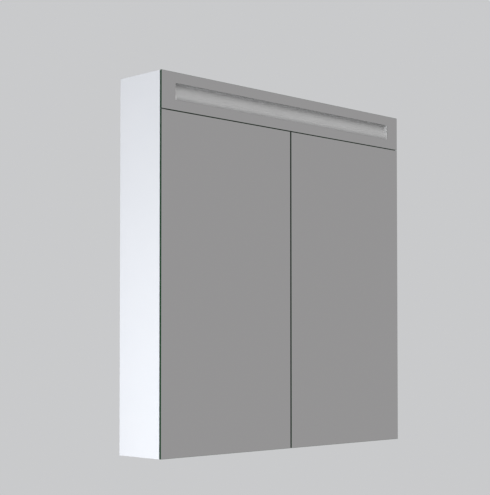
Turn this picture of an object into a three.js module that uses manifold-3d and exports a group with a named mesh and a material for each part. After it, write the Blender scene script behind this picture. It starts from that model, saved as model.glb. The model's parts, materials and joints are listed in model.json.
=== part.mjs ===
// Bathroom mirror cabinet with two mirror doors and a light strip above them.
// Millimetres. +X right, +Z up, and the cabinet faces -Y.
// Origin: centre of the rear face, which lies flat on the wall.

import * as THREE from 'three';
import { mergeVertices } from 'three/addons/utils/BufferGeometryUtils.js';
import Module from 'manifold-3d';

// ---------- driving dimensions ----------

const WIDTH = 700;
const HEIGHT = 720;
const DEPTH = 120;
const BOARD = 16;
const BACK_BOARD = 10;

const FRONT_GLASS = 4;
const REAR_GLASS = 3;
const DOOR_AIR = 1;
const DOOR_GAP = 3;
const INSET_GAP = 3;

const LIGHT_STRIP_HEIGHT = 71.75;
const REVEAL = 1.25;
const WINDOW_WIDTH = 630;
const WINDOW_HEIGHT = 31.5;
const WINDOW_CORNER = 0.5;
const DIVIDER_DROP = 5;

const SHELF_GLASS = 5;
const SHELF_DEPTH = 86;
const SHELF_LEVELS = [-139, 68];
const PIN_STEP = 32;
const PIN_ROWS = [-82, -28];

const HINGE_SPREAD = 450;
const ROCKER_TILT = 6;

// ---------- levels and faces worked out from them ----------

const RIGHT = WIDTH / 2;
const TOP = HEIGHT / 2;
const BOTTOM = -TOP;
const INNER_X = RIGHT - BOARD;
const FRONT = -DEPTH;
const GLASS_BACK = FRONT + FRONT_GLASS;
const BODY_FRONT = GLASS_BACK + DOOR_AIR;
const BACK_FACE = -BACK_BOARD;
const CEILING = TOP - BOARD;
const FLOOR = BOTTOM + BOARD;
const STRIP_BOTTOM = TOP - LIGHT_STRIP_HEIGHT;
const DOOR_TOP = STRIP_BOTTOM - REVEAL;
const DIVIDER_TOP = DOOR_TOP - DIVIDER_DROP;
const DIVIDER_BOTTOM = DIVIDER_TOP - BOARD;
const REAR_GLASS_BACK = GLASS_BACK + REAR_GLASS;
const DOOR_MIDDLE = (BOTTOM + DOOR_TOP) / 2;

// ---------- materials ----------

function finish(color, roughness, metalness = 0, opacity = 1) {
  return new THREE.MeshStandardMaterial({ color, roughness, metalness, opacity, transparent: opacity < 1 });
}

const lacquer = finish(0xeef0f4, 0.35);
const mirrorGlass = finish(0x949494, 0.03, 1);
const clearGlass = finish(0xcfe6dc, 0.05, 0, 0.35);
const opal = finish(0xa8aaab, 0.5);
const steel = finish(0xb9bcc0, 0.3, 1);
const aluminium = finish(0xc9cbcd, 0.4, 1);
const lampGlass = finish(0xf4f4f0, 0.25);
const plastic = finish(0xf0f0ee, 0.4);
const rubber = finish(0x4a4c4e, 0.8);
const ballastCase = finish(0xe4e4e0, 0.5);

// ---------- geometry helpers ----------

const AXIS_X = new THREE.Vector3(1, 0, 0);
const AXIS_Y = new THREE.Vector3(0, 1, 0);
const AXIS_Z = new THREE.Vector3(0, 0, 1);
const ALONG_Y = new THREE.Matrix4().makeBasis(AXIS_X, AXIS_Z, AXIS_Y.clone().negate());
const ALONG_X = new THREE.Matrix4().makeBasis(AXIS_Y, AXIS_Z, AXIS_X);

// A box from its low and high limits on each axis.
function box([x0, x1], [y0, y1], [z0, z1]) {
  const geometry = new THREE.BoxGeometry(x1 - x0, y1 - y0, z1 - z0);
  return geometry.translate((x0 + x1) / 2, (y0 + y1) / 2, (z0 + z1) / 2);
}

function extrude(shape, depth, curveSegments) {
  return new THREE.ExtrudeGeometry(shape, { depth, bevelEnabled: false, curveSegments });
}

// An outline in x, y, extruded upwards from z0 to z1.
function slabZ(shape, z0, z1, curveSegments = 6) {
  return extrude(shape, z1 - z0, curveSegments).translate(0, 0, z0);
}

// An outline in x, z, extruded from the rear face y1 forwards to y0.
function slabY(shape, y0, y1, curveSegments = 6) {
  return extrude(shape, y1 - y0, curveSegments).applyMatrix4(ALONG_Y).translate(0, y1, 0);
}

// An outline in y, z, extruded from x0 to x1.
function slabX(shape, x0, x1, curveSegments = 6) {
  return extrude(shape, x1 - x0, curveSegments).applyMatrix4(ALONG_X).translate(x0, 0, 0);
}

function circle(a, b, radius) {
  return new THREE.Shape().absarc(a, b, radius, 0, 2 * Math.PI);
}

// A rectangle with rounded corners, about the point a, b.
function roundedRect(a, b, width, height, radius) {
  const left = a - width / 2;
  const right = a + width / 2;
  const low = b - height / 2;
  const high = b + height / 2;
  return new THREE.Shape()
    .absarc(right - radius, high - radius, radius, 0, Math.PI / 2)
    .absarc(left + radius, high - radius, radius, Math.PI / 2, Math.PI)
    .absarc(left + radius, low + radius, radius, Math.PI, 1.5 * Math.PI)
    .absarc(right - radius, low + radius, radius, 1.5 * Math.PI, 2 * Math.PI);
}

// A bar with round ends between two points.
function link(from, to, radius) {
  const angle = Math.atan2(to[1] - from[1], to[0] - from[0]);
  return new THREE.Shape()
    .absarc(to[0], to[1], radius, angle - Math.PI / 2, angle + Math.PI / 2)
    .absarc(from[0], from[1], radius, angle + Math.PI / 2, angle + 1.5 * Math.PI);
}

function polygon(points) {
  return new THREE.Shape(points.map(([a, b]) => new THREE.Vector2(a, b)));
}

// ---------- joining and cutting ----------

const wasm = await Module();
wasm.setup();

function solid(geometry) {
  const bare = geometry.clone();
  bare.deleteAttribute('normal');
  bare.deleteAttribute('uv');
  const merged = mergeVertices(bare);
  return new wasm.Manifold(new wasm.Mesh({
    numProp: 3,
    vertProperties: new Float32Array(merged.attributes.position.array),
    triVerts: new Uint32Array(merged.index.array),
  }));
}

// The added geometries joined, less the removed ones, with the last ones joined on.
function carve(added, removed = [], last = []) {
  let body = solid(added[0]);
  for (const piece of added.slice(1)) body = body.add(solid(piece));
  for (const piece of removed) body = body.subtract(solid(piece));
  for (const piece of last) body = body.add(solid(piece));
  const mesh = body.getMesh();
  const geometry = new THREE.BufferGeometry();
  geometry.setAttribute('position', new THREE.BufferAttribute(mesh.vertProperties, 3));
  geometry.setIndex(new THREE.BufferAttribute(mesh.triVerts, 1));
  return geometry;
}

const group = new THREE.Group();

function add(name, geometry, material) {
  geometry.computeVertexNormals();
  const mesh = new THREE.Mesh(geometry, material);
  mesh.name = name;
  group.add(mesh);
}

// The two sides of the cabinet: sign of x, and the word in the names.
const SIDES = [[-1, 'left'], [1, 'right']];

// Limits on x that run from a to b on the right side, or mirrored on the left one.
function span(sign, a, b) {
  return sign > 0 ? [a, b] : [-b, -a];
}

// ---------- carcass ----------

const PIN_HOLE_RADIUS = 2.5;
const PIN_HOLE_DEPTH = 9;
const PIN_RADIUS = 2.3;
const PIN_REST_RADIUS = 2.5;
const PIN_CLEARANCE = 0.25;

function shelfPinLevel(shelfLevel) {
  return shelfLevel - PIN_REST_RADIUS - PIN_CLEARANCE;
}

for (const [sign, side] of SIDES) {
  const panel = box(span(sign, INNER_X, RIGHT), [BODY_FRONT, 0], [BOTTOM, TOP]);
  const holes = [];
  for (const shelfLevel of SHELF_LEVELS) {
    for (const step of [-1, 0, 1]) {
      for (const row of PIN_ROWS) {
        const outline = circle(row, shelfPinLevel(shelfLevel) + step * PIN_STEP, PIN_HOLE_RADIUS);
        holes.push(slabX(outline, ...span(sign, INNER_X - 1, INNER_X + PIN_HOLE_DEPTH), 5));
      }
    }
  }
  add(`side_panel_${side}`, carve([panel], holes), lacquer);
}

add('top_panel', box([-INNER_X, INNER_X], [BODY_FRONT, 0], [CEILING, TOP]), lacquer);
add('light_floor_panel', box([-INNER_X, INNER_X], [BODY_FRONT, BACK_FACE], [DIVIDER_BOTTOM, DIVIDER_TOP]), lacquer);

// The doors have no handles: fingers reach behind the glass through a scoop in the bottom board.
const SCOOP_X = 80;
const SCOOP_WIDTH = 90;
const SCOOP_DEPTH = 18;
const SCOOP_HEIGHT = 10;
const SCOOP_RADIUS = 12;

function scoop(sign) {
  const middle = BODY_FRONT - SCOOP_RADIUS;
  const length = 2 * (SCOOP_DEPTH + SCOOP_RADIUS);
  const outline = roundedRect(sign * SCOOP_X, middle, SCOOP_WIDTH, length, SCOOP_RADIUS);
  return slabZ(outline, BOTTOM - 1, BOTTOM + SCOOP_HEIGHT);
}

const bottomBoard = box([-INNER_X, INNER_X], [BODY_FRONT, 0], [BOTTOM, FLOOR]);
add('bottom_panel', carve([bottomBoard], [scoop(-1), scoop(1)]), lacquer);

// ---------- back panel, hangers and cable grommet ----------

const HANGER_X = 230;
const HANGER_Z = 235;
const HANGER_WIDTH = 40;
const HANGER_HEIGHT = 56;
const HANGER_STEEL = 2;
const HANGER_PLAY = 0.25;
const KEYHOLE_RADIUS = 5.5;
const KEYHOLE_SLOT = 3;
const KEYHOLE_LOW = -8;
const KEYHOLE_HIGH = 12;
const SCREW_HEAD_DEPTH = 8;
const SCREW_HEAD_HALF = 10;
const SCREW_HEAD_Z = [HANGER_Z - 18, HANGER_Z + 20];
const GROMMET_X = 250;
const GROMMET_Z = 320;
const GROMMET_RADIUS = 11;
const GROMMET_BORE = 5;
const GROMMET_FLANGE = 14;
const GROMMET_PLAY = 0.3;

const backCuts = [slabY(circle(GROMMET_X, GROMMET_Z, GROMMET_RADIUS), BACK_FACE - 1, 1, 12)];
for (const [sign, side] of SIDES) {
  const x = sign * HANGER_X;
  const plateX = [x - HANGER_WIDTH / 2, x + HANGER_WIDTH / 2];
  const plateZ = [HANGER_Z - HANGER_HEIGHT / 2, HANGER_Z + HANGER_HEIGHT / 2];
  const recessX = [plateX[0] - HANGER_PLAY, plateX[1] + HANGER_PLAY];
  const recessZ = [plateZ[0] - HANGER_PLAY, plateZ[1] + HANGER_PLAY];
  backCuts.push(box(recessX, [-HANGER_STEEL, 1], recessZ));
  backCuts.push(box([x - SCREW_HEAD_HALF, x + SCREW_HEAD_HALF], [-SCREW_HEAD_DEPTH, 0], SCREW_HEAD_Z));

  const plate = roundedRect(x, HANGER_Z, HANGER_WIDTH, HANGER_HEIGHT, 4);
  const plateSlab = slabY(plate, -HANGER_STEEL, 0, 3);
  const hole = slabY(circle(x, HANGER_Z + KEYHOLE_LOW, KEYHOLE_RADIUS), -HANGER_STEEL - 1, 1, 8);
  const slotEnds = [[x, HANGER_Z + KEYHOLE_LOW], [x, HANGER_Z + KEYHOLE_HIGH]];
  const slot = slabY(link(...slotEnds, KEYHOLE_SLOT), -HANGER_STEEL - 1, 1);
  add(`hanger_plate_${side}`, carve([plateSlab], [hole, slot]), steel);
}
const backBoard = box([-INNER_X, INNER_X], [BACK_FACE, 0], [FLOOR, CEILING]);
add('back_panel', carve([backBoard], backCuts), lacquer);

const grommetProfile = polygon([
  [GROMMET_BORE, -0.5],
  [GROMMET_RADIUS - GROMMET_PLAY, -0.5],
  [GROMMET_RADIUS - GROMMET_PLAY, BACK_FACE - GROMMET_PLAY],
  [GROMMET_FLANGE, BACK_FACE - GROMMET_PLAY],
  [GROMMET_FLANGE - 1, BACK_FACE - 2.5],
  [GROMMET_BORE, BACK_FACE - 2.5],
  [GROMMET_BORE, -0.5],
]);
const grommet = new THREE.LatheGeometry(grommetProfile.getPoints().reverse(), 20);
add('cable_grommet', grommet.translate(GROMMET_X, 0, GROMMET_Z), rubber);

// ---------- shelves and their pins ----------

const SHELF_PLAY = 2;
const SHELF_FRONT = BACK_FACE - 2 - SHELF_DEPTH;
const PIN_COLLAR = 4;
const PIN_REACH = 8;

// A turned pin: a stub in the panel, a collar against it and a rest that the shelf lies on.
function shelfPin(sign, y, z) {
  const profile = [
    [0, -8], [PIN_RADIUS, -8], [PIN_RADIUS, 0.25], [PIN_COLLAR, 0.25], [PIN_COLLAR, 1.5],
    [PIN_REST_RADIUS, 1.5], [PIN_REST_RADIUS, PIN_REACH - 1], [PIN_REST_RADIUS - 0.8, PIN_REACH], [0, PIN_REACH],
  ].map(([radius, along]) => new THREE.Vector2(radius, along));
  const pin = new THREE.LatheGeometry(profile, 10);
  return pin.rotateZ(sign * Math.PI / 2).translate(sign * INNER_X, y, z);
}

SHELF_LEVELS.forEach((level, index) => {
  const word = ['lower', 'upper'][index];
  const shelfX = [-INNER_X + SHELF_PLAY, INNER_X - SHELF_PLAY];
  const shelf = box(shelfX, [SHELF_FRONT, BACK_FACE - 2], [level, level + SHELF_GLASS]);
  add(`glass_shelf_${word}`, shelf, clearGlass);
  for (const [sign, side] of SIDES) {
    PIN_ROWS.forEach((y, row) => {
      const place = ['front', 'rear'][row];
      add(`shelf_pin_${word}_${side}_${place}`, shelfPin(sign, y, shelfPinLevel(level)), steel);
    });
  }
});

// ---------- doors ----------

const BUFFER_X = 14;
const BUFFER_RADIUS = 4;
const BUFFER_THICKNESS = 0.75;
const REAR_GLASS_X = [DOOR_GAP * 1.5, INNER_X - INSET_GAP];
const REAR_GLASS_Z = [FLOOR + INSET_GAP, DIVIDER_BOTTOM - INSET_GAP];

for (const [sign, side] of SIDES) {
  const front = box(span(sign, DOOR_GAP / 2, RIGHT), [FRONT, GLASS_BACK], [BOTTOM, DOOR_TOP]);
  add(`door_mirror_front_${side}`, front, mirrorGlass);
  const rear = box(span(sign, ...REAR_GLASS_X), [GLASS_BACK, REAR_GLASS_BACK], REAR_GLASS_Z);
  add(`door_mirror_rear_${side}`, rear, mirrorGlass);
  const buffer = circle(sign * BUFFER_X, BOTTOM + BOARD / 2, BUFFER_RADIUS);
  add(`door_buffer_${side}`, slabY(buffer, BODY_FRONT - BUFFER_THICKNESS, BODY_FRONT), rubber);
}

// ---------- hinges ----------
// Each door swings about a line at its own outer front corner, so that it never sweeps past the cabinet's side.
// A crank and a coupler make a parallelogram with that line: the crank turns with the door,
// and the coupler keeps its direction. Plan points are for the right-hand side, measured from that line.

const SWING_X = RIGHT;
const SWING_Y = FRONT + 1;
const CRANK_VECTOR = [24, 13];
const COUPLER_VECTOR = [30, 34];
const LINK_RADIUS = 3.5;
const PIVOT_PIN = 1.5;
const PIVOT_HOLE = 1.8;
const OPEN_PIVOT_HOLE = 2;
const CRANK_HALF = 2;
const FORK_HALF = 2.5;
const COUPLER_HALF = 4.5;
const ARM_HALF = 5;
const COUPLER_WEB = [4.4, 6];
const COUPLER_WEB_END = 12;
const PLATE_STEEL = 2;
const PLATE_WIDTH = 46;
const PLATE_HEIGHT = 44;
const PLATE_SCREW_RISE = 15;
const ARM_BODY = 7.5;

const doorPivot = CRANK_VECTOR;
const armPivot = COUPLER_VECTOR;
const elbow = [CRANK_VECTOR[0] + COUPLER_VECTOR[0], CRANK_VECTOR[1] + COUPLER_VECTOR[1]];

// A plan point measured inwards and backwards from the swing line.
function plan(sign, [inwards, backwards]) {
  return [sign * (SWING_X - inwards), SWING_Y + backwards];
}

function hinge(sign, side, z, word) {
  const name = (piece) => `hinge_${piece}_${side}_${word}`;
  const arm = plan(sign, armPivot);
  const elbowPoint = plan(sign, elbow);
  const boss = plan(sign, doorPivot);
  const pin = ([x, y], half) => slabZ(circle(x, y, PIVOT_PIN), z - half, z + half);
  const bore = ([x, y], radius) => slabZ(circle(x, y, radius), z - ARM_HALF, z + ARM_HALF);

  // Mounting plate, screwed flat to the side panel.
  const plateMiddle = arm[1] + 20;
  const plate = slabX(
    roundedRect(plateMiddle, z, PLATE_WIDTH, PLATE_HEIGHT, 4),
    ...span(sign, INNER_X - PLATE_STEEL, INNER_X),
    3,
  );
  const screws = [-PLATE_SCREW_RISE, PLATE_SCREW_RISE].map((rise) => (
    slabX(circle(plateMiddle, z + rise, 2), ...span(sign, INNER_X - 5, INNER_X + 1), 5)
  ));
  add(name('plate'), carve([plate], screws), steel);

  // Arm, clipped on the plate, with two ears and the fixed pivot.
  const armX = span(sign, INNER_X - PLATE_STEEL - ARM_BODY, INNER_X - PLATE_STEEL);
  const armBody = box(armX, [arm[1] - 5, arm[1] + 39], [z - ARM_HALF, z + ARM_HALF]);
  const ears = slabZ(link([arm[0] + sign * 6, arm[1]], arm, LINK_RADIUS), z - ARM_HALF, z + ARM_HALF);
  const fork = box(
    span(sign, INNER_X - 60, INNER_X - PLATE_STEEL - ARM_BODY),
    [arm[1] - 10, arm[1] + 10],
    [z - FORK_HALF, z + FORK_HALF],
  );
  add(name('arm'), carve([armBody, ears], [fork], [pin(arm, ARM_HALF)]), steel);

  // Crank, between the ears.
  const crank = slabZ(link(arm, elbowPoint, LINK_RADIUS), z - CRANK_HALF, z + CRANK_HALF);
  add(name('crank'), carve([crank], [bore(arm, PIVOT_HOLE), bore(elbowPoint, PIVOT_HOLE)]), steel);

  // Coupler: two flanges with a web on the side that the crank never reaches.
  const length = Math.hypot(...COUPLER_VECTOR);
  const along = [-COUPLER_VECTOR[0] / length, -COUPLER_VECTOR[1] / length];
  const across = [-along[1], along[0]];
  const place = (run, offset) => plan(sign, [
    elbow[0] + run * along[0] + offset * across[0],
    elbow[1] + run * along[1] + offset * across[1],
  ]);
  const strip = (run0, run1, offset0, offset1) => polygon([
    place(run0, offset0), place(run1, offset0), place(run1, offset1), place(run0, offset1),
  ]);
  const flanges = slabZ(link(elbowPoint, boss, LINK_RADIUS), z - COUPLER_HALF, z + COUPLER_HALF);
  const webEnd = length - COUPLER_WEB_END;
  const web = slabZ(strip(0, webEnd, 0, COUPLER_WEB[1]), z - COUPLER_HALF, z + COUPLER_HALF);
  const slot = slabZ(strip(-20, length + 20, -20, COUPLER_WEB[0]), z - FORK_HALF, z + FORK_HALF);
  const pins = [pin(elbowPoint, COUPLER_HALF), pin(boss, COUPLER_HALF)];
  add(name('coupler'), carve([flanges, web], [slot], pins), steel);

  // Boss, bonded to the door's inner mirror. Its pivot has play, because the loop is open there.
  const footX = span(sign, RIGHT - 50, RIGHT - 20.5);
  const foot = box(footX, [REAR_GLASS_BACK, REAR_GLASS_BACK + 2], [z - 16, z + 16]);
  const knuckleFoot = [boss[0], REAR_GLASS_BACK + LINK_RADIUS];
  const knuckle = slabZ(link(knuckleFoot, boss, LINK_RADIUS), z - CRANK_HALF, z + CRANK_HALF);
  add(name('boss'), carve([foot, knuckle], [bore(boss, OPEN_PIVOT_HOLE)]), steel);
}

for (const [sign, side] of SIDES) {
  hinge(sign, side, DOOR_MIDDLE + HINGE_SPREAD / 2, 'upper');
  hinge(sign, side, DOOR_MIDDLE - HINGE_SPREAD / 2, 'lower');
}

// ---------- light strip ----------

const STRIP_MIDDLE = TOP - LIGHT_STRIP_HEIGHT / 2;
const CARRIER_INSET = 4;
const LENS_PLAY = 0.25;
const LENS_WALL = 1.5;
const LENS_RIM = 0.25;
const LENS_FRONT = FRONT + LENS_PLAY;
const LENS_DEPTH = 8;
const LENS_FLOOR = 2;
const LENS_FLANGE = 1.5;
const LENS_FLANGE_END = 6;
const LENS_FLANGE_GAP = 0.3;
const LENS_FLANGE_LOW = 3;
const LENS_FLANGE_HIGH = 1.5;

const stripShape = polygon([[-RIGHT, STRIP_BOTTOM], [RIGHT, STRIP_BOTTOM], [RIGHT, TOP], [-RIGHT, TOP]]);
stripShape.holes.push(roundedRect(0, STRIP_MIDDLE, WINDOW_WIDTH, WINDOW_HEIGHT, WINDOW_CORNER));
add('light_strip_mirror', slabY(stripShape, FRONT, GLASS_BACK, 3), mirrorGlass);

const carrierShape = roundedRect(
  0, STRIP_MIDDLE, WIDTH - 2 * CARRIER_INSET, LIGHT_STRIP_HEIGHT - 2 * CARRIER_INSET, 1,
);
carrierShape.holes.push(roundedRect(0, STRIP_MIDDLE, WINDOW_WIDTH, WINDOW_HEIGHT, WINDOW_CORNER));
add('light_strip_carrier', slabY(carrierShape, GLASS_BACK, BODY_FRONT, 3), aluminium);

// A section of the lens in y, z, open to the front: deep at the top, with a floor that sweeps out to the bottom edge.
// The top edge may rise towards the front.
function lensSection(halfHeight, front, deep, shallow, frontRise = 0) {
  const low = STRIP_MIDDLE - halfHeight;
  const high = STRIP_MIDDLE + halfHeight;
  const shape = new THREE.Shape();
  shape.moveTo(front, low);
  shape.lineTo(shallow, low);
  shape.bezierCurveTo(shallow, low + 0.85 * halfHeight, deep, high - 1.1 * halfHeight, deep, high);
  shape.lineTo(front, high + frontRise);
  return shape;
}

function lens() {
  const halfWidth = WINDOW_WIDTH / 2 - LENS_PLAY;
  const halfHeight = WINDOW_HEIGHT / 2 - LENS_PLAY;
  const deepest = FRONT + LENS_DEPTH;
  const flangeFront = BODY_FRONT + LENS_FLANGE_GAP;
  const flangeBack = flangeFront + LENS_FLANGE;
  const shellSection = lensSection(halfHeight, LENS_FRONT, deepest + LENS_FLOOR, flangeBack);
  const shell = slabX(shellSection, -halfWidth, halfWidth, 8);

  // The hollow has draft at the top and at both ends, so its walls run out to a thin rim at the front.
  const cutFront = FRONT - 1;
  const draft = (LENS_WALL - LENS_RIM) / (deepest - LENS_FRONT);
  const rise = draft * (deepest - cutFront);
  const hollowSection = lensSection(halfHeight - LENS_WALL, cutFront, deepest, LENS_FRONT, rise);
  const ends = SIDES.map(([sign]) => {
    const inner = sign * (halfWidth - LENS_WALL);
    const outer = sign * (halfWidth + 1);
    const outline = [[inner + sign * rise, cutFront], [outer, cutFront], [outer, deepest], [inner, deepest]];
    return slabZ(polygon(sign > 0 ? outline : outline.reverse()), STRIP_BOTTOM, TOP);
  });
  const hollow = carve([slabX(hollowSection, -halfWidth, halfWidth, 8)], ends);

  const flangeX = WINDOW_WIDTH / 2 + LENS_FLANGE_END;
  const flangeZ = [
    STRIP_MIDDLE - WINDOW_HEIGHT / 2 - LENS_FLANGE_LOW,
    STRIP_MIDDLE + WINDOW_HEIGHT / 2 + LENS_FLANGE_HIGH,
  ];
  const flange = box([-flangeX, flangeX], [flangeFront, flangeBack], flangeZ);
  const ringX = halfWidth - LENS_WALL / 2;
  const ringZ = halfHeight - LENS_WALL / 2;
  const window = box([-ringX, ringX], [FRONT, 0], [STRIP_MIDDLE - ringZ, STRIP_MIDDLE + ringZ]);
  const ring = carve([flange], [window]);
  return carve([shell, ring], [hollow]);
}
add('light_window_lens', lens(), opal);

// The lamp and what holds it, behind the lens.
const LAMP_Y = -78;
const LAMP_Z = 320;
const LAMP_RADIUS = 8;
const LAMP_HALF = 260;
const CAP_RADIUS = 8.5;
const CAP_LENGTH = 14;
const LAMP_PIN_RADIUS = 1.1;
const LAMP_PIN_SPACING = 2.5;
const LAMP_PIN_LENGTH = 6;
const HOLDER_THICKNESS = 14;
const HOLDER_GAP = 0.5;

add('lamp_tube', slabX(circle(LAMP_Y, LAMP_Z, LAMP_RADIUS), -LAMP_HALF, LAMP_HALF, 8), lampGlass);
for (const [sign, side] of SIDES) {
  const capEnd = LAMP_HALF + CAP_LENGTH;
  const cap = slabX(circle(LAMP_Y, LAMP_Z, CAP_RADIUS), ...span(sign, LAMP_HALF, capEnd), 8);
  const pins = [-1, 1].map((place) => (
    slabX(
      circle(LAMP_Y, LAMP_Z + place * LAMP_PIN_SPACING, LAMP_PIN_RADIUS),
      ...span(sign, capEnd - 1, capEnd + LAMP_PIN_LENGTH),
      4,
    )
  ));
  add(`lamp_cap_${side}`, carve([cap, ...pins]), aluminium);

  const holderStart = capEnd + HOLDER_GAP;
  const holderX = span(sign, holderStart, holderStart + HOLDER_THICKNESS);
  const holder = box(holderX, [LAMP_Y - 12, LAMP_Y + 12], [DIVIDER_TOP, LAMP_Z + 13]);
  const slotX = span(sign, holderStart - 1, holderStart + 8);
  const slot = box(slotX, [LAMP_Y - 1.8, LAMP_Y + 1.8], [LAMP_Z - 5, LAMP_Z + 20]);
  add(`lamp_holder_${side}`, carve([holder], [slot]), plastic);
}

// A folded sheet behind and below the lamp, drawn as its section in y, z.
const REFLECTOR_HALF = 250;
const REFLECTOR_SHEET = 1;
const reflectorLow = DIVIDER_TOP;
const reflectorHigh = CEILING - 2;
const reflector = polygon([
  [-100, reflectorLow],
  [-60, reflectorLow],
  [-46, reflectorLow + 14],
  [-46, reflectorHigh - 12],
  [-58, reflectorHigh],
  [-90, reflectorHigh],
  [-90, reflectorHigh - REFLECTOR_SHEET],
  [-58.5, reflectorHigh - REFLECTOR_SHEET],
  [-47, reflectorHigh - 12.5],
  [-47, reflectorLow + 14.5],
  [-60.5, reflectorLow + REFLECTOR_SHEET],
  [-100, reflectorLow + REFLECTOR_SHEET],
]);
add('lamp_reflector', slabX(reflector, -REFLECTOR_HALF, REFLECTOR_HALF), aluminium);
add('lamp_ballast', box([-180, 30], [BACK_FACE - 30, BACK_FACE], [DIVIDER_TOP, DIVIDER_TOP + 21]), ballastCase);

// ---------- switch and socket unit ----------

const UNIT_X = INNER_X - 30;
const UNIT_Y = [-100, -18];
const UNIT_Z = [213, 263];
const UNIT_MIDDLE_Z = (UNIT_Z[0] + UNIT_Z[1]) / 2;
const SOCKET_Y = -43;
const SOCKET_RADIUS = 20;
const SOCKET_PLAY = 0.3;
const SOCKET_WALL = 1.7;
const SOCKET_DEPTH = 20;
const SOCKET_PIN_HOLE = 2.5;
const SOCKET_PIN_SPREAD = 9.5;
const ROCKER_Y = -81;
const ROCKER_WIDTH = 18;
const ROCKER_PIVOT_X = UNIT_X + 5;
const ROCKER_HALF_HEIGHT = 13.5;
const TRUNNION_RADIUS = 1.2;
const TRUNNION_REACH = 2;

const unitBody = box([UNIT_X, INNER_X], UNIT_Y, UNIT_Z);
const socketPocket = slabX(circle(SOCKET_Y, UNIT_MIDDLE_Z, SOCKET_RADIUS), UNIT_X - 1, UNIT_X + SOCKET_DEPTH, 12);
const rockerPocket = box(
  [UNIT_X - 1, UNIT_X + 14],
  [ROCKER_Y - ROCKER_WIDTH / 2 - 0.4, ROCKER_Y + ROCKER_WIDTH / 2 + 0.4],
  [UNIT_MIDDLE_Z - 15, UNIT_MIDDLE_Z + 15],
);
function acrossRocker(radius, reach) {
  const half = ROCKER_WIDTH / 2 + reach;
  return slabY(circle(ROCKER_PIVOT_X, UNIT_MIDDLE_Z, radius), ROCKER_Y - half, ROCKER_Y + half);
}
const trunnionHoles = acrossRocker(TRUNNION_RADIUS + 0.4, TRUNNION_REACH + 0.5);
add('switch_socket_housing', carve([unitBody], [socketPocket, rockerPocket, trunnionHoles]), plastic);

const insertRadius = SOCKET_RADIUS - SOCKET_PLAY;
const insertBody = slabX(circle(SOCKET_Y, UNIT_MIDDLE_Z, insertRadius), UNIT_X, UNIT_X + SOCKET_DEPTH - 1, 12);
const insertHollow = slabX(
  circle(SOCKET_Y, UNIT_MIDDLE_Z, insertRadius - SOCKET_WALL),
  UNIT_X - 1,
  UNIT_X + SOCKET_DEPTH - 4,
  12,
);
const pinHoles = [-1, 1].map((place) => (
  slabX(circle(SOCKET_Y + place * SOCKET_PIN_SPREAD, UNIT_MIDDLE_Z, SOCKET_PIN_HOLE), UNIT_X, INNER_X, 5)
));
add('socket_insert', carve([insertBody], [insertHollow, ...pinHoles]), plastic);

// The rocker's section in x, z, tilted so that its upper half stands proud.
const tilt = THREE.MathUtils.degToRad(ROCKER_TILT);
const rockerSection = polygon([
  [-6, 0], [-4.5, -ROCKER_HALF_HEIGHT], [1, -ROCKER_HALF_HEIGHT], [3, -5],
  [3, 5], [1, ROCKER_HALF_HEIGHT], [-4.5, ROCKER_HALF_HEIGHT],
].map(([x, z]) => [
  ROCKER_PIVOT_X + x * Math.cos(tilt) - z * Math.sin(tilt),
  UNIT_MIDDLE_Z + x * Math.sin(tilt) + z * Math.cos(tilt),
]));
const rockerBody = slabY(rockerSection, ROCKER_Y - ROCKER_WIDTH / 2, ROCKER_Y + ROCKER_WIDTH / 2);
add('switch_rocker', carve([rockerBody, acrossRocker(TRUNNION_RADIUS, TRUNNION_REACH)]), plastic);

export default group;
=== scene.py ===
"""Looks of the bathroom mirror cabinet: lacquered boards, mirrors, satin light window and metal fittings."""

import json
import math

import bmesh
import bpy
from mathutils import Matrix, Vector

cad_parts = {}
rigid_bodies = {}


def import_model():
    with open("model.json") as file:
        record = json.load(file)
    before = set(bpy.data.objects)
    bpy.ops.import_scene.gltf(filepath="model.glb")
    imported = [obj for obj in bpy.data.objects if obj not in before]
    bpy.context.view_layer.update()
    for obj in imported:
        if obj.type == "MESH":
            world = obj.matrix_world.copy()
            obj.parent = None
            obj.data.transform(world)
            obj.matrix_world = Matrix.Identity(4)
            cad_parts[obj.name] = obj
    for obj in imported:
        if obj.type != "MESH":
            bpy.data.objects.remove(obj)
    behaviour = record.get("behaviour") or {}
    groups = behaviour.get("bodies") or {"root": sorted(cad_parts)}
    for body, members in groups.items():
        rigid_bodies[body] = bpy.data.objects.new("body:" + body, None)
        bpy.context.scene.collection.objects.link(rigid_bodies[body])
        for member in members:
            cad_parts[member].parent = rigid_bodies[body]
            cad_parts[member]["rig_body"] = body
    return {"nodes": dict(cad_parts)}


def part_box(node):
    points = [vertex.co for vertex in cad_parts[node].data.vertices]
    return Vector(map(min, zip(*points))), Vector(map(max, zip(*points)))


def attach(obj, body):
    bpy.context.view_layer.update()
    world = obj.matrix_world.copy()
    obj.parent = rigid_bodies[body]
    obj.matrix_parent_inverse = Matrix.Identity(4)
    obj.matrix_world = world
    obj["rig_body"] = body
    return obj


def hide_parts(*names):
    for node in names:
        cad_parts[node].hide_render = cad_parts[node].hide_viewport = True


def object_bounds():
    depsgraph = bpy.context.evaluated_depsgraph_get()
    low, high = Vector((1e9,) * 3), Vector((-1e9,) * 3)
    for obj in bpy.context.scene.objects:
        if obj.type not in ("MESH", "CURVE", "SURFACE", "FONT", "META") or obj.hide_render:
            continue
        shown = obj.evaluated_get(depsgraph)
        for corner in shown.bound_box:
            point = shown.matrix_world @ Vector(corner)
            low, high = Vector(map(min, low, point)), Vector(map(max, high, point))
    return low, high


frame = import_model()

cad_low, cad_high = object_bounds()
NODES = frame["nodes"]
MM = 0.001
SIDES = (("left", -1), ("right", 1))
FRONT, BACK = Vector((0, -1, 0)), Vector((0, 1, 0))
# How far a cutter stands out of the face that it cuts.
OVERRUN = 1 * MM


# ---------- camera, lights and stage ----------

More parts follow.
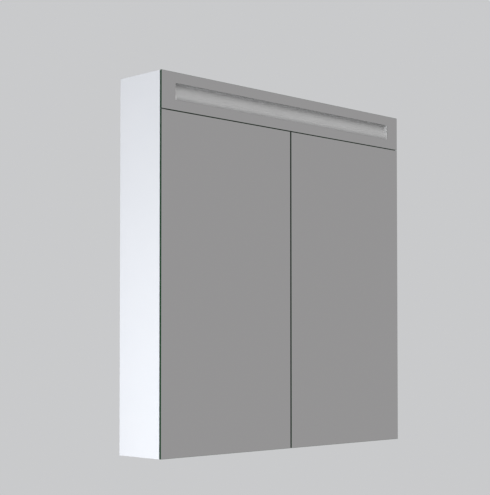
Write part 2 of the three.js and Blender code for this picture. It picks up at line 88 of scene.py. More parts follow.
CAMERA_PLACE = Vector((-1.818, -1.817, -0.149))
CAMERA_HEADING = math.radians(45.19)
CAMERA_PITCH = math.radians(1.65)
CAMERA_LENS = 88.54
CAMERA_SHIFT = 0.125
SENSOR_WIDTH = 36
FLOOR_DROP = 1.2
FLOOR_RADIUS = 6
STUDIO_GREY = (0.318, 0.312, 0.315, 1)
STUDIO_PALE = (0.585, 0.59, 0.6, 1)
# Where grey turns to pale, from 0 straight in front of the cabinet to 1 straight behind it.
STUDIO_TURN = (0.48, 0.66)


def make_camera():
    data = bpy.data.cameras.new("camera")
    data.lens = CAMERA_LENS
    data.sensor_width = SENSOR_WIDTH
    data.shift_y = CAMERA_SHIFT
    camera = bpy.data.objects.new("camera", data)
    bpy.context.scene.collection.objects.link(camera)
    heading = Vector((math.cos(CAMERA_HEADING), math.sin(CAMERA_HEADING), math.tan(CAMERA_PITCH)))
    camera.location = CAMERA_PLACE
    camera.rotation_euler = heading.to_track_quat("-Z", "Y").to_euler()
    bpy.context.scene.camera = camera


def area_light(name, place, target, size, power, colour=(1, 1, 1)):
    data = bpy.data.lights.new(name, "AREA")
    data.shape = "DISK"
    data.size = size
    data.energy = power
    data.color = colour
    light = bpy.data.objects.new(name, data)
    bpy.context.scene.collection.objects.link(light)
    light.location = place
    light.rotation_euler = (Vector(target) - Vector(place)).to_track_quat("-Z", "Y").to_euler()
    light.visible_glossy = False


def make_studio():
    """A grey studio in front of the mirrors, a pale one behind the cabinet, and a floor far below it."""
    world = bpy.data.worlds.new("studio")
    bpy.context.scene.world = world
    world.use_nodes = True
    tree = world.node_tree
    background = tree.nodes["Background"]
    coordinates = tree.nodes.new("ShaderNodeTexCoord")
    split = tree.nodes.new("ShaderNodeSeparateXYZ")
    ramp = tree.nodes.new("ShaderNodeValToRGB")
    for stop, position, colour in zip(ramp.color_ramp.elements, STUDIO_TURN, (STUDIO_GREY, STUDIO_PALE)):
        stop.position = position
        stop.color = colour
    tree.links.new(coordinates.outputs["Generated"], split.inputs["Vector"])
    tree.links.new(share(tree, split.outputs["Y"], -1, 1), ramp.inputs["Fac"])
    tree.links.new(ramp.outputs["Color"], background.inputs["Color"])

    area_light("key_left", (-1.7, -0.4, -0.45), (-0.35, -0.06, 0), 1.0, 15.5, (0.95, 0.97, 1.0))
    area_light("front_high", (0.1, -2.0, 2.2), (0, -0.1, 0.2), 3.0, 50)
    area_light("front_fill", (0.6, -3.0, -0.3), (0, -0.1, 0), 2.0, 8)
    area_light("back_fill", (1.6, 2.4, 1.4), (0, 0, 0), 1.8, 34)

    mesh = bpy.data.meshes.new("floor")
    shape = bmesh.new()
    bmesh.ops.create_circle(shape, cap_ends=True, radius=FLOOR_RADIUS, segments=96)
    shape.to_mesh(mesh)
    shape.free()
    floor = bpy.data.objects.new("floor", mesh)
    bpy.context.scene.collection.objects.link(floor)
    floor.location.z = cad_low.z - FLOOR_DROP
    mesh.materials.append(plain("floor_pale", (0.9, 0.9, 0.89), 0.85))


# ---------- materials ----------

WINDOW_WALL = 1.5 * MM
WINDOW_RIM = 0.15 * MM
WINDOW_DEPTH = 8 * MM
WINDOW_SHELL = 2 * MM
WINDOW_PLAY = 0.06 * MM
SWEEP_LOW = 0.85
SWEEP_HIGH = 1.1
FLANGE_LOW = 3 * MM
FLANGE_HIGH = 1.5 * MM
FLANGE_END = 6 * MM
FLANGE_THICKNESS = 1.5 * MM

# Greys of the window, set until renders came near the photo: share of the lens's height, grey.
# Painted shade: these greys darken the window towards its top edge, under the top wall, and towards its
# bottom edge.
WINDOW_PAINTED_SHADE_TONES = ((0.08, 0.35), (0.3, 0.46), (0.9, 0.46), (0.955, 0.23))
# Painted light: a paler grey on the window's end walls, where light falls on them.
WINDOW_END_PAINTED_LIGHT = (0.66, 0.66, 0.66, 1)
WINDOW_END_LIGHT_BLEND = 0.6 * MM

# Sockets of a Mix node that mixes colours.
MIX_FIRST, MIX_SECOND, MIX_RESULT = 6, 7, 2


def shader(name, colour, roughness, metallic=0.0, **sockets):
    """A Principled material, with its node tree and its shader node."""
    material = bpy.data.materials.new(name)
    material.use_nodes = True
    tree = material.node_tree
    bsdf = tree.nodes["Principled BSDF"]
    bsdf.inputs["Base Color"].default_value = (*colour, 1)
    bsdf.inputs["Roughness"].default_value = roughness
    bsdf.inputs["Metallic"].default_value = metallic
    for socket, value in sockets.items():
        bsdf.inputs[socket.replace("_", " ")].default_value = value
    return material, tree, bsdf


def plain(name, colour, roughness):
    return shader(name, colour, roughness)[0]


def noise(tree, scale, detail=3.0, stretch=(1, 1, 1)):
    """Noise in object space, with its scale per metre."""
    coordinates = tree.nodes.new("ShaderNodeTexCoord")
    mapping = tree.nodes.new("ShaderNodeMapping")
    mapping.inputs["Scale"].default_value = stretch
    texture = tree.nodes.new("ShaderNodeTexNoise")
    texture.inputs["Scale"].default_value = scale
    texture.inputs["Detail"].default_value = detail
    tree.links.new(coordinates.outputs["Object"], mapping.inputs["Vector"])
    tree.links.new(mapping.outputs["Vector"], texture.inputs["Vector"])
    return texture.outputs["Fac"]


def between(tree, factor, low, high):
    """A number from low to high, as the factor goes over the middle of its range."""
    span = tree.nodes.new("ShaderNodeMapRange")
    span.interpolation_type = "SMOOTHSTEP"
    span.inputs["From Min"].default_value = 0.15
    span.inputs["From Max"].default_value = 0.85
    span.inputs["To Min"].default_value = low
    span.inputs["To Max"].default_value = high
    tree.links.new(factor, span.inputs["Value"])
    return span.outputs["Result"]


def share(tree, value, low, high):
    """Where the value lies between low and high, from 0 to 1."""
    span = tree.nodes.new("ShaderNodeMapRange")
    span.inputs["From Min"].default_value = low
    span.inputs["From Max"].default_value = high
    tree.links.new(value, span.inputs["Value"])
    return span.outputs["Result"]


def mixed(tree, factor, first, second, blend="MIX"):
    """Two colours mixed by the factor. Each of the three is a node's output or a plain value."""
    mix = tree.nodes.new("ShaderNodeMix")
    mix.data_type = "RGBA"
    mix.blend_type = blend
    for socket, value in (("Factor", factor), (MIX_FIRST, first), (MIX_SECOND, second)):
        if isinstance(value, bpy.types.NodeSocket):
            tree.links.new(value, mix.inputs[socket])
        else:
            mix.inputs[socket].default_value = value
    return mix.outputs[MIX_RESULT]


def tint(tree, bsdf, factor, dark, light):
    """Colours the material between dark and light, by the factor."""
    tree.links.new(mixed(tree, factor, (*dark, 1), (*light, 1)), bsdf.inputs["Base Color"])


def gloss(tree, bsdf, factor, low, high):
    """Varies the material's roughness from low to high, by the factor."""
    tree.links.new(between(tree, factor, low, high), bsdf.inputs["Roughness"])


def bump(tree, bsdf, height, strength, distance):
    node = tree.nodes.new("ShaderNodeBump")
    node.inputs["Strength"].default_value = strength
    node.inputs["Distance"].default_value = distance
    tree.links.new(height, node.inputs["Height"])
    tree.links.new(node.outputs["Normal"], bsdf.inputs["Normal"])


def lacquer():
    """White sprayed lacquer: faint orange peel, and gloss that varies a little over a hand's width."""
    colour = (0.8, 0.815, 0.85)
    material, tree, bsdf = shader("white_lacquer", colour, 0.3, Coat_Weight=0.25, Coat_Roughness=0.12)
    tint(tree, bsdf, noise(tree, 9), (0.785, 0.803, 0.84), (0.81, 0.825, 0.855))
    gloss(tree, bsdf, noise(tree, 7, 1), 0.28, 0.36)
    bump(tree, bsdf, noise(tree, 650, 2), 0.12, 0.0004)
    return material


def back_board():
    """Fine fibre board under a thin coat, for the back panel's rear face."""
    material, tree, bsdf = shader("back_board", (0.8, 0.8, 0.79), 0.6)
    tint(tree, bsdf, noise(tree, 240, 5), (0.74, 0.74, 0.72), (0.82, 0.82, 0.81))
    bump(tree, bsdf, noise(tree, 1100, 4), 0.25, 0.0004)
    return material


def silvered():
    """The reflecting face of a mirror, with the faintest haze where it has been wiped."""
    material, tree, bsdf = shader("mirror_silver", (0.935, 0.94, 0.94), 0.02, 1.0)
    gloss(tree, bsdf, noise(tree, 5, 2, (1, 1, 0.4)), 0.01, 0.035)
    return material


def glass_edge():
    """Polished edge of float glass: dark green, with faint upright streaks."""
    material, tree, bsdf = shader("glass_edge", (0.008, 0.044, 0.017), 0.18, Specular_IOR_Level=0.06)
    fleck = noise(tree, 60, 4, (1, 1, 0.15))
    tint(tree, bsdf, fleck, (0.005, 0.035, 0.012), (0.011, 0.053, 0.022))
    return material


def mirror_backing():
    """Grey protective paint on the back of a mirror."""
    material, tree, bsdf = shader("mirror_back_paint", (0.2, 0.22, 0.23), 0.5)
    tint(tree, bsdf, noise(tree, 90, 4), (0.16, 0.175, 0.185), (0.23, 0.245, 0.255))
    bump(tree, bsdf, noise(tree, 800, 3), 0.2, 0.0003)
    return material


def clear_glass():
    """Clear glass of a shelf."""
    material, tree, bsdf = shader("shelf_glass", (0.86, 0.96, 0.92), 0.02, Transmission_Weight=1.0, IOR=1.5)
    gloss(tree, bsdf, noise(tree, 12), 0.005, 0.03)
    return material


def satin_window():
    """Satin acrylic over the unlit lamp: grey, with painted shade along both long edges and painted light on
    its end walls.
    """
    material, tree, bsdf = shader(
        "satin_window", (0.45, 0.45, 0.45), 0.5,
        Specular_IOR_Level=0.2, Subsurface_Weight=0.6, Subsurface_Scale=0.0015,
    )
    bsdf.inputs["Subsurface Radius"].default_value = (1, 1, 1)
    low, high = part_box("light_window_lens")
    coordinates = tree.nodes.new("ShaderNodeTexCoord")
    split = tree.nodes.new("ShaderNodeSeparateXYZ")
    tree.links.new(coordinates.outputs["Object"], split.inputs["Vector"])

    # Painted shade by height: the grey falls off towards the window's top and bottom edges.
    shade_tones = tree.nodes.new("ShaderNodeValToRGB")
    shade_tones.color_ramp.interpolation = "EASE"
    for index, (position, grey) in enumerate(WINDOW_PAINTED_SHADE_TONES):
        stop = shade_tones.color_ramp.elements[index] if index < 2 else shade_tones.color_ramp.elements.new(position)
        stop.position = position
        stop.color = (grey, grey, grey, 1)
    tree.links.new(share(tree, split.outputs["Z"], low.z, high.z), shade_tones.inputs["Fac"])

    sideways = tree.nodes.new("ShaderNodeMath")
    sideways.operation = "ABSOLUTE"
    tree.links.new(split.outputs["X"], sideways.inputs[0])
    # Painted light on both end walls: this mask turns the grey paler there.
    end_wall = high.x - FLANGE_END - WINDOW_WALL
    ends = share(tree, sideways.outputs["Value"], end_wall - WINDOW_END_LIGHT_BLEND, end_wall)
    painted_shade_and_light = mixed(tree, ends, shade_tones.outputs["Color"], WINDOW_END_PAINTED_LIGHT)
    cloud = mixed(tree, noise(tree, 30), (0.96, 0.965, 0.965, 1), (1, 1, 1, 1))
    tree.links.new(mixed(tree, 1, painted_shade_and_light, cloud, "MULTIPLY"), bsdf.inputs["Base Color"])
    bump(tree, bsdf, noise(tree, 2600, 2), 0.15, 0.0002)
    return material


def metal(name, colour, low, high, grain=(1, 1, 1), scale=420):
    """Plated or brushed metal, whose gloss follows a grain."""
    material, tree, bsdf = shader(name, colour, low, 1.0)
    marks = noise(tree, scale, 5, grain)
    gloss(tree, bsdf, marks, low, high)
    bump(tree, bsdf, marks, 0.08, 0.0002)
    return material


def moulded(name, colour, roughness, grain=900):
    """Moulded plastic or rubber with a fine spark-eroded texture."""
    material, tree, bsdf = shader(name, colour, roughness)
    dark = tuple(0.94 * channel for channel in colour)
    tint(tree, bsdf, noise(tree, 40), dark, colour)
    bump(tree, bsdf, noise(tree, grain, 2), 0.2, 0.0003)
    return material


LACQUER = lacquer()
BACK_BOARD = back_board()
SILVER = silvered()
GLASS_EDGE = glass_edge()
BACKING = mirror_backing()
SHELF_GLASS = clear_glass()
WINDOW = satin_window()
NICKEL = metal("nickel_plate", (0.66, 0.655, 0.64), 0.16, 0.3)
ZINC = metal("zinc_steel", (0.56, 0.58, 0.61), 0.3, 0.5, scale=160)
ALUMINIUM = metal("anodised_aluminium", (0.8, 0.81, 0.82), 0.28, 0.42, (0.03, 1, 1), 900)
LAMP_WHITE = moulded("lamp_phosphor", (0.93, 0.93, 0.91), 0.25, 500)
PLASTIC = moulded("white_plastic", (0.88, 0.88, 0.86), 0.32)
ENAMEL = moulded("ballast_enamel", (0.83, 0.83, 0.8), 0.4)
RUBBER = moulded("black_rubber", (0.03, 0.03, 0.032), 0.7)
BRASS = metal("contact_brass", (0.78, 0.6, 0.32), 0.2, 0.35)


# ---------- mesh helpers ----------

WELD_DISTANCE = 0.01 * MM
# Angle between faces, in degrees, from which a CAD node's edge is rounded.
CAD_EDGE_ANGLE = 50


def link_mesh(name, shape, materials, smooth=False):
    mesh = bpy.data.meshes.new(name)
    bmesh.ops.recalc_face_normals(shape, faces=shape.faces)
    shape.to_mesh(mesh)
    shape.free()
    for material in materials:
        mesh.materials.append(material)
    for polygon in mesh.polygons:
        polygon.use_smooth = smooth
    piece = bpy.data.objects.new(name, mesh)
    bpy.context.scene.collection.objects.link(piece)
    return piece


def soften(piece, width, segments=2, angle=35):
    """Small round edges on every sharp corner, and smooth faces between them."""
    modifier = piece.modifiers.new("edge_round", "BEVEL")
    modifier.width = width
    modifier.segments = segments
    modifier.limit_method = "ANGLE"
    modifier.angle_limit = math.radians(angle)
    modifier.harden_normals = True
    for polygon in piece.data.polygons:
        polygon.use_smooth = True


def block(shape, low, high):
    """Adds a box to the bmesh."""
    centre, size = (Vector(low) + Vector(high)) / 2, Vector(high) - Vector(low)
    matrix = Matrix.Translation(centre) @ Matrix.Diagonal((*size, 1))
    bmesh.ops.create_cube(shape, size=1, matrix=matrix)


def turned(shape, profile, place, axis, segments=32):
    """Adds a turned solid. Its profile is a row of (radius, distance along the axis): open, with both
    ends on the axis, or a ring that ends on its first point."""
    rotation = Vector(axis).to_track_quat("Z", "Y").to_matrix().to_4x4()
    matrix = Matrix.Translation(place) @ rotation
    rings = []
    for radius, along in profile:
        if rings and (radius, along) == profile[0]:
            rings.append(rings[0])
            continue
        if radius == 0:
            rings.append([shape.verts.new(matrix @ Vector((0, 0, along)))])
            continue
        angles = [2 * math.pi * step / segments for step in range(segments)]
        rings.append([
            shape.verts.new(matrix @ Vector((radius * math.cos(a), radius * math.sin(a), along)))
            for a in angles
        ])
    for lower, upper in zip(rings, rings[1:]):
        for step in range(segments):
            following = (step + 1) % segments
            corners = [lower[step % len(lower)], lower[following % len(lower)]]
            corners += [upper[following % len(upper)], upper[step % len(upper)]]
            corners = list(dict.fromkeys(corners))
            shape.faces.new(corners)


def extruded(shape, outline, x0, x1):
    """Adds an outline in y, z, extruded along x."""
    ends = [[shape.verts.new((x, y, z)) for y, z in outline] for x in (x0, x1)]
    count = len(outline)
    for step in range(count):
        following = (step + 1) % count
        shape.faces.new((ends[0][step], ends[0][following], ends[1][following], ends[1][step]))
    shape.faces.new(ends[0])
    shape.faces.new(ends[1])


def baked(piece):
    """Applies the piece's modifiers to its mesh."""
    bpy.context.view_layer.update()
    evaluated = piece.evaluated_get(bpy.context.evaluated_depsgraph_get())
    mesh = bpy.data.meshes.new_from_object(evaluated)
    piece.modifiers.clear()
    piece.data = mesh


def cut(piece, *cutters):
    """Cuts the cutters out of the piece, and removes them."""
    for cutter in cutters:
        modifier = piece.modifiers.new("cut", "BOOLEAN")
        modifier.operation = "DIFFERENCE"
        modifier.solver = "EXACT"
        modifier.object = cutter
    baked(piece)
    for cutter in cutters:
        bpy.data.objects.remove(cutter)
    return piece


def keep(piece, body, slot, *nodes):
    """The piece rides on a body and stands for these CAD nodes. Its slot, the finish's name, is not used."""
    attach(piece, body)
    if nodes:
        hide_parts(*nodes)


def body_of(node):
    return NODES[node]["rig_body"]


def middle_of(node):
    low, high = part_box(node)
    return (low + high) / 2


def repaint(piece, *materials):
    """Gives the piece these materials in place of its own."""
    piece.data.materials.clear()
    for material in materials:
        piece.data.materials.append(material)


# ---------- CAD nodes that stay, with a material and soft edges ----------

def dress(node, material, edge=0.0):
    """A material on a CAD node, and round edges once its triangles are joined into whole faces."""
    piece = NODES[node]
    repaint(piece, material)
    if edge:
        weld = piece.modifiers.new("weld", "WELD")
        weld.merge_threshold = WELD_DISTANCE
        flat = piece.modifiers.new("whole_faces", "DECIMATE")
        flat.decimate_type = "DISSOLVE"
        flat.angle_limit = math.radians(0.5)
        soften(piece, edge, angle=CAD_EDGE_ANGLE)


def dress_cad_nodes():
    for side, _ in SIDES:
        dress(f"side_panel_{side}", LACQUER, 0.5 * MM)
        dress(f"door_buffer_{side}", RUBBER, 0.1 * MM)
        dress(f"lamp_holder_{side}", PLASTIC, 0.5 * MM)
        dress(f"lamp_cap_{side}", ALUMINIUM, 0.2 * MM)
        for height in ("upper", "lower"):
            for piece in ("plate", "arm", "crank", "coupler", "boss"):
                dress(f"hinge_{piece}_{side}_{height}", NICKEL, 0.3 * MM)
            for row in ("front", "rear"):
                dress(f"shelf_pin_{height}_{side}_{row}", NICKEL, 0.15 * MM)
    for node in ("top_panel", "bottom_panel", "light_floor_panel"):
        dress(node, LACQUER, 0.4 * MM)
    dress("cable_grommet", RUBBER, 0.5 * MM)
    dress("light_strip_carrier", ALUMINIUM)
    dress("lamp_tube", LAMP_WHITE, 0.5 * MM)
    dress("lamp_reflector", ALUMINIUM, 0.3 * MM)
    dress("lamp_ballast", ENAMEL, 1.2 * MM)


# ---------- mirrors and shelves ----------

ARRIS = 0.45 * MM
SHELF_ARRIS = 0.6 * MM
# Least cosine between a face's normal and a direction, where the face counts as facing it.
FACING = 0.99


def paint_mirror(piece, facing):
    """Silver on the face that looks outwards, paint behind it, and green glass on the edges."""
    for polygon in piece.data.polygons:
        if polygon.normal.dot(facing) > FACING:
            polygon.material_index = 0
        elif polygon.normal.dot(facing) < -FACING:
            polygon.material_index = 1
        else:
            polygon.material_index = 2


def bevelled(shape, width, candidates=None):
    """Rounds the sharp edges of the bmesh, or those among the candidates."""
    edges = [edge for edge in candidates or shape.edges if edge.calc_face_angle(0) > math.radians(30)]
    bmesh.ops.bevel(shape, geom=edges, offset=width, segments=2, profile=0.6, affect="EDGES")


def mirror_pane(name, node, facing):
    low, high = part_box(node)
    shape = bmesh.new()
    block(shape, low, high)
    bevelled(shape, ARRIS)
    piece = link_mesh(name, shape, (SILVER, BACKING, GLASS_EDGE))
    paint_mirror(piece, facing)
    keep(piece, body_of(node), "mirror_glass", node)


def light_strip():
    """The mirror strip: one pane with the window cut through it."""
    low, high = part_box("light_strip_mirror")
    lens_low, lens_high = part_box("light_window_lens")
    window_low = Vector((lens_low.x + FLANGE_END, 0, lens_low.z + FLANGE_LOW))
    window_high = Vector((lens_high.x - FLANGE_END, 0, lens_high.z - FLANGE_HIGH))
    shape = bmesh.new()

    def ring(first, last, y):
        places = ((first.x, first.z), (last.x, first.z), (last.x, last.z), (first.x, last.z))
        return [shape.verts.new((x, y, z)) for x, z in places]

    outer = [ring(low, high, y) for y in (low.y, high.y)]
    inner = [ring(window_low, window_high, y) for y in (low.y, high.y)]
    for step in range(4):
        following = (step + 1) % 4
        for level in (0, 1):
            shape.faces.new((
                outer[level][step], outer[level][following], inner[level][following], inner[level][step],
            ))
        for loop in (outer, inner):
            shape.faces.new((loop[0][step], loop[0][following], loop[1][following], loop[1][step]))
    bmesh.ops.recalc_face_normals(shape, faces=shape.faces)
    rim = {vert for loop in outer for vert in loop}
    bevelled(shape, ARRIS, [edge for edge in shape.edges if rim.issuperset(edge.verts)])
    piece = link_mesh("light_strip_pane", shape, (SILVER, BACKING, GLASS_EDGE))
    paint_mirror(piece, FRONT)
    keep(piece, "cabinet", "mirror_glass", "light_strip_mirror")


def glass_shelf(height):
    node = f"glass_shelf_{height}"
    shape = bmesh.new()
    block(shape, *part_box(node))
    bevelled(shape, SHELF_ARRIS)
    piece = link_mesh(f"shelf_{height}", shape, (SHELF_GLASS, GLASS_EDGE))
    for polygon in piece.data.polygons:
        polygon.material_index = 0 if abs(polygon.normal.z) > FACING else 1
    keep(piece, "cabinet", "shelf_glass", node)


# ---------- light window ----------

SWEEP_STEPS = 40
# How far behind the tray's front its floor lies along the lower edge.
SWEEP_LIP = 0.02 * MM


def bezier(points, steps):
    """Points of a cubic curve in y, z."""
    places = []
    for step in range(steps + 1):
        t = step / steps
        weights = ((1 - t) ** 3, 3 * t * (1 - t) ** 2, 3 * t * t * (1 - t), t ** 3)
        y, z = (sum(w * point[axis] for w, point in zip(weights, points)) for axis in (0, 1))
        places.append((y, z))
    return places


def light_window():
    """The satin tray: deep along the top, with a floor that sweeps out to the mirror's face at the bottom."""
    low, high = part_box("light_window_lens")
    window_low, window_high = low.z + FLANGE_LOW, high.z - FLANGE_HIGH
    middle_z = (window_low + window_high) / 2
    half_x = high.x - FLANGE_END - WINDOW_PLAY
    half_z = (window_high - window_low) / 2 - WINDOW_PLAY
    deepest = cad_low.y + WINDOW_DEPTH

    def section(half, front, deep, shallow, front_rise=0.0):
        bottom, top = middle_z - half, middle_z + half
        low_handle = (shallow, bottom + SWEEP_LOW * half)
        high_handle = (deep, top - SWEEP_HIGH * half)
        sweep = bezier(((shallow, bottom), low_handle, high_handle, (deep, top)), SWEEP_STEPS)
        return [(front, bottom), *sweep, (front, top + front_rise)]

    shell = bmesh.new()
    extruded(shell, section(half_z, low.y, deepest + WINDOW_SHELL, high.y), -half_x, half_x)
    piece = link_mesh("light_window", shell, (WINDOW,))
    cut_front = low.y - OVERRUN
    draft = (WINDOW_WALL - WINDOW_RIM) / (deepest - low.y)
    rise = draft * (deepest - cut_front)
    outline = section(half_z - WINDOW_WALL, cut_front, deepest, low.y + SWEEP_LIP, rise)
    hollow = bmesh.new()
    inner_x = half_x - WINDOW_WALL
    extruded(hollow, outline, -inner_x, inner_x)
    for vert in hollow.verts:
        vert.co.x += math.copysign(draft * (deepest - vert.co.y), vert.co.x)
    cut(piece, link_mesh("window_hollow", hollow, ()))
    soften(piece, 0.05 * MM, 2, 40)
    keep(piece, "cabinet", "opal_acrylic", "light_window_lens")

    flange_y = high.y - FLANGE_THICKNESS
    shape = bmesh.new()
    for z0, z1 in ((low.z, middle_z - half_z), (middle_z + half_z, high.z)):
        block(shape, (low.x, flange_y, z0), (high.x, high.y, z1))
    for x0, x1 in ((low.x, -half_x), (half_x, high.x)):
        block(shape, (x0, flange_y, middle_z - half_z), (x1, high.y, middle_z + half_z))
    keep(link_mesh("light_window_flange", shape, (WINDOW,)), "cabinet", "opal_acrylic")


# ---------- fasteners and small trim ----------

HEAD_STEPS = 6
# Each head is a radius and a height, and each sink a radius and a depth.
PAN_HEAD = (3.6 * MM, 1.6 * MM)
ADJUSTER_HEAD = (3 * MM, 1.2 * MM)
HANGER_HEAD = (2.5 * MM, 0.85 * MM)
BACK_HEAD = (2.8 * MM, 0.85 * MM)

HINGE_SCREW_RISE = 15 * MM
ADJUSTER_INSET = 9.5 * MM
ADJUSTER_SETBACK = 9 * MM

HANGER_INSET_X = 6 * MM
HANGER_INSET_Z = 5.5 * MM
HANGER_SEAT = 1 * MM
HANGER_SINK = (2.9 * MM, 1.3 * MM)

BACK_INSET = 9 * MM
BACK_SPACES = 4
BACK_SEAT = 1.1 * MM
BACK_SINK = (3.3 * MM, 2 * MM)

COVER_RADIUS = 8.5 * MM
COVER_HEIGHT = 0.8 * MM
COVER_BEVEL = (0.5 * MM, 0.3 * MM)
COVER_INSET = 34 * MM
COVER_ROWS = (("front", -85 * MM), ("rear", -35 * MM))


def screw(name, place, axis, head, slot="nickel_steel", material=NICKEL):
    """A screw with a domed head and a cross recess, its head standing on place along axis."""
    radius, height = head
    shape = bmesh.new()
    rim = 0.45 * height
    profile = [(0, 0), (radius, 0), (radius, rim)]
    for step in range(1, HEAD_STEPS + 1):
        angle = math.pi / 2 * step / HEAD_STEPS
        rise = rim + 0.55 * height * math.sin(angle)
        profile.append((radius * math.cos(angle) if step < HEAD_STEPS else 0, rise))
    turned(shape, profile, place, axis)
    piece = link_mesh(name, shape, (material,), smooth=True)
    recess = bmesh.new()
    arm, half, depth = 0.55 * radius, 0.11 * radius, 0.65 * height
    quarter = [(half, -arm), (half, -half), (arm, -half)]
    cross = []
    for _ in range(4):
        cross += quarter
        quarter = [(-z, y) for y, z in quarter]
    extruded(recess, cross, height - depth, height + OVERRUN)
    rotation = Vector(axis).to_track_quat("X", "Z").to_matrix().to_4x4()
    bmesh.ops.transform(recess, matrix=Matrix.Translation(place) @ rotation, verts=recess.verts)
    cut(piece, link_mesh("recess", recess, ()))
    keep(piece, "cabinet", slot)


def hinge_screws():
    """Two screws in each hinge's mounting plate, and the adjuster in its arm."""
    for side, sign in SIDES:
        for height in ("upper", "lower"):
            low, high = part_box(f"hinge_plate_{side}_{height}")
            middle = (low + high) / 2
            inward = Vector((-sign, 0, 0))
            face_x = low.x if sign > 0 else high.x
            for word, rise in (("top", HINGE_SCREW_RISE), ("base", -HINGE_SCREW_RISE)):
                place = Vector((face_x, middle.y, middle.z + rise))
                screw(f"hinge_screw_{side}_{height}_{word}", place, inward, PAN_HEAD)
            arm_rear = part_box(f"hinge_arm_{side}_{height}")[1].y
            arm_face = (high.x - ADJUSTER_INSET) if sign > 0 else (low.x + ADJUSTER_INSET)
            place = Vector((arm_face, arm_rear - ADJUSTER_SETBACK, middle.z))
            screw(f"hinge_adjuster_{side}_{height}", place, inward, ADJUSTER_HEAD)


def countersunk(name, node, places, sink, materials):
    """A copy of a CAD node's mesh with a tapered hole in its rear face at each place."""
    radius, depth = sink
    shape = bmesh.new()
    shape.from_mesh(NODES[node].data)
    bmesh.ops.remove_doubles(shape, verts=shape.verts, dist=WELD_DISTANCE)
    piece = link_mesh(name, shape, ())
    holes = bmesh.new()
    # The taper goes on above the face, where the hole has the sink's radius.
    above = 0.5 * MM
    mouth = radius + 0.55 * radius * above / depth
    profile = [(0, -depth), (0.45 * radius, -depth), (mouth, above), (0, above)]
    for place in places:
        turned(holes, profile, place, BACK)
    cut(piece, link_mesh(f"{name}_holes", holes, ()))
    repaint(piece, *materials)
    return piece


def hangers():
    """The zinc hanger plates with their countersunk screws."""
    for side, _ in SIDES:
        node = f"hanger_plate_{side}"
        low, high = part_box(node)
        places = [
            Vector((x, high.y, z))
            for z in (high.z - HANGER_INSET_Z, low.z + HANGER_INSET_Z)
            for x in (low.x + HANGER_INSET_X, high.x - HANGER_INSET_X)
        ]
        plate = countersunk(f"hanger_{side}", node, places, HANGER_SINK, (ZINC,))
        keep(plate, "cabinet", "zinc_steel", node)
        for index, place in enumerate(places):
            seat = place - Vector((0, HANGER_SEAT, 0))
            screw(f"hanger_screw_{side}_{index + 1}", seat, BACK, HANGER_HEAD, "zinc_steel", ZINC)


def back_panel():
    """The back panel: lacquered inside, plain board outside, with countersunk screws all round."""
    low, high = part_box("back_panel")

    def spread(first, last):
        pitch = (last - first - 2 * BACK_INSET) / BACK_SPACES
        return [first + BACK_INSET + step * pitch for step in range(BACK_SPACES + 1)]

    columns, rows = spread(low.x, high.x), spread(low.z, high.z)
    places = [Vector((x, high.y, z)) for x in columns for z in (rows[0], rows[-1])]
    places += [Vector((x, high.y, z)) for x in (columns[0], columns[-1]) for z in rows[1:-1]]
    panel = countersunk("back_board_panel", "back_panel", places, BACK_SINK, (LACQUER, BACK_BOARD))
    for polygon in panel.data.polygons:
        polygon.material_index = 1 if polygon.normal.dot(BACK) > 0.3 else 0
    keep(panel, "cabinet", "white_lacquer", "back_panel")
    for index, place in enumerate(places):
        seat = place - Vector((0, BACK_SEAT, 0))
        screw(f"back_screw_{index + 1}", seat, BACK, BACK_HEAD, "zinc_steel", ZINC)


def cam_covers():
    """Flat caps over the cam fittings that hold the boards together."""
    side_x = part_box("side_panel_right")[0].x
    floor_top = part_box("bottom_panel")[1].z
    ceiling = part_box("light_floor_panel")[0].z
    inset, drop = COVER_BEVEL
    profile = [
        (0, 0), (COVER_RADIUS, 0), (COVER_RADIUS, COVER_HEIGHT - drop),
        (COVER_RADIUS - inset, COVER_HEIGHT), (0, COVER_HEIGHT),
    ]
    for side, sign in SIDES:
        for word, level, up in (("floor", floor_top, 1), ("ceiling", ceiling, -1)):
            for row, y in COVER_ROWS:
                shape = bmesh.new()
                turned(shape, profile, (sign * (side_x - COVER_INSET), y, level), (0, 0, up))
                piece = link_mesh(f"cam_cover_{word}_{side}_{row}", shape, (PLASTIC,))
                keep(piece, "cabinet", "white_plastic")


# ---------- switch and socket unit ----------

UNIT_CORNER = 5 * MM
UNIT_EDGE = 0.7 * MM
CUP_DEPTH = 20 * MM
CUP_PLAY = 0.3 * MM
CUP_SEGMENTS = 64
ROCKER_HALF_WIDTH = 9 * MM
ROCKER_GAP = 0.5 * MM
POCKET_DEPTH = 14 * MM
POCKET_HALF_HEIGHT = 15 * MM
PIVOT_DEPTH = 5 * MM
TRUNNION_HOLE_RADIUS = 1.6 * MM
TRUNNION_HOLE_REACH = 11.5 * MM
CONTACT_SPREAD = 9.5 * MM
CONTACT_DEPTH = 2.6 * MM
CONTACT_RADII = (1.5 * MM, 2.3 * MM)
CONTACT_HEIGHT = 1.2 * MM
SMALL_SEGMENTS = 24


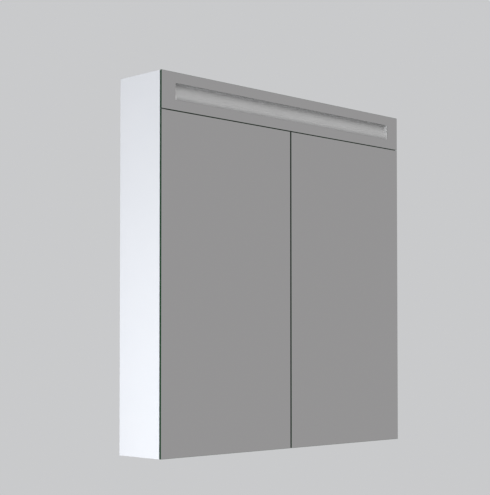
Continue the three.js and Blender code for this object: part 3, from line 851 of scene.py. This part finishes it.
def switch_unit():
    """The moulded housing with round edges, its socket cup, contacts and rocker."""
    low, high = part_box("switch_socket_housing")
    insert_low, insert_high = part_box("socket_insert")
    middle = middle_of("socket_insert")
    rocker_y = middle_of("switch_rocker").y
    inward = Vector((-1, 0, 0))

    shape = bmesh.new()
    block(shape, low, high)
    corner = [edge for edge in shape.edges if abs((edge.verts[0].co - edge.verts[1].co).x) > 1 * MM]
    bmesh.ops.bevel(shape, geom=corner, offset=UNIT_CORNER, segments=8, profile=0.5, affect="EDGES")
    housing = link_mesh("switch_housing", shape, (PLASTIC,))

    cup = bmesh.new()
    radius = (insert_high.y - insert_low.y) / 2 + CUP_PLAY
    profile = [(0, -CUP_DEPTH), (radius, -CUP_DEPTH), (radius, 2 * OVERRUN), (0, 2 * OVERRUN)]
    turned(cup, profile, Vector((low.x, middle.y, middle.z)), inward, CUP_SEGMENTS)

    pocket = bmesh.new()
    reach = ROCKER_HALF_WIDTH + ROCKER_GAP
    block(
        pocket,
        (low.x - OVERRUN, rocker_y - reach, middle.z - POCKET_HALF_HEIGHT),
        (low.x + POCKET_DEPTH, rocker_y + reach, middle.z + POCKET_HALF_HEIGHT),
    )

    # Clearance for the rocker's trunnions in the pocket's two walls, as in the CAD housing.
    bearing = bmesh.new()
    radius, reach = TRUNNION_HOLE_RADIUS, TRUNNION_HOLE_REACH
    profile = [(0, -reach), (radius, -reach), (radius, reach), (0, reach)]
    turned(bearing, profile, Vector((low.x + PIVOT_DEPTH, rocker_y, middle.z)), BACK, SMALL_SEGMENTS)

    cutters = (("cup_cutter", cup), ("pocket_cutter", pocket), ("bearing_cutter", bearing))
    cut(housing, *(link_mesh(name, cutter, ()) for name, cutter in cutters))
    soften(housing, UNIT_EDGE, 3, 40)
    keep(housing, "cabinet", "white_plastic", "switch_socket_housing")

    dress("socket_insert", PLASTIC, 0.5 * MM)
    dress("switch_rocker", PLASTIC, 0.4 * MM)
    inner, outer = CONTACT_RADII
    profile = [(inner, 0), (outer, 0), (outer, CONTACT_HEIGHT), (inner, CONTACT_HEIGHT), (inner, 0)]
    for place, sign in (("front", -1), ("rear", 1)):
        shape = bmesh.new()
        spot = Vector((insert_high.x - CONTACT_DEPTH, middle.y + sign * CONTACT_SPREAD, middle.z))
        turned(shape, profile, spot, inward, SMALL_SEGMENTS)
        piece = link_mesh(f"socket_contact_{place}", shape, (BRASS,), smooth=True)
        keep(piece, "cabinet", "nickel_steel")


# ---------- everything put together ----------

make_camera()
make_studio()
dress_cad_nodes()
for side, _ in SIDES:
    mirror_pane(f"door_pane_front_{side}", f"door_mirror_front_{side}", FRONT)
    mirror_pane(f"door_pane_rear_{side}", f"door_mirror_rear_{side}", BACK)
light_strip()
light_window()
for height in ("upper", "lower"):
    glass_shelf(height)
hinge_screws()
hangers()
back_panel()
cam_covers()
switch_unit()

bpy.context.scene.view_settings.view_transform = "Standard"
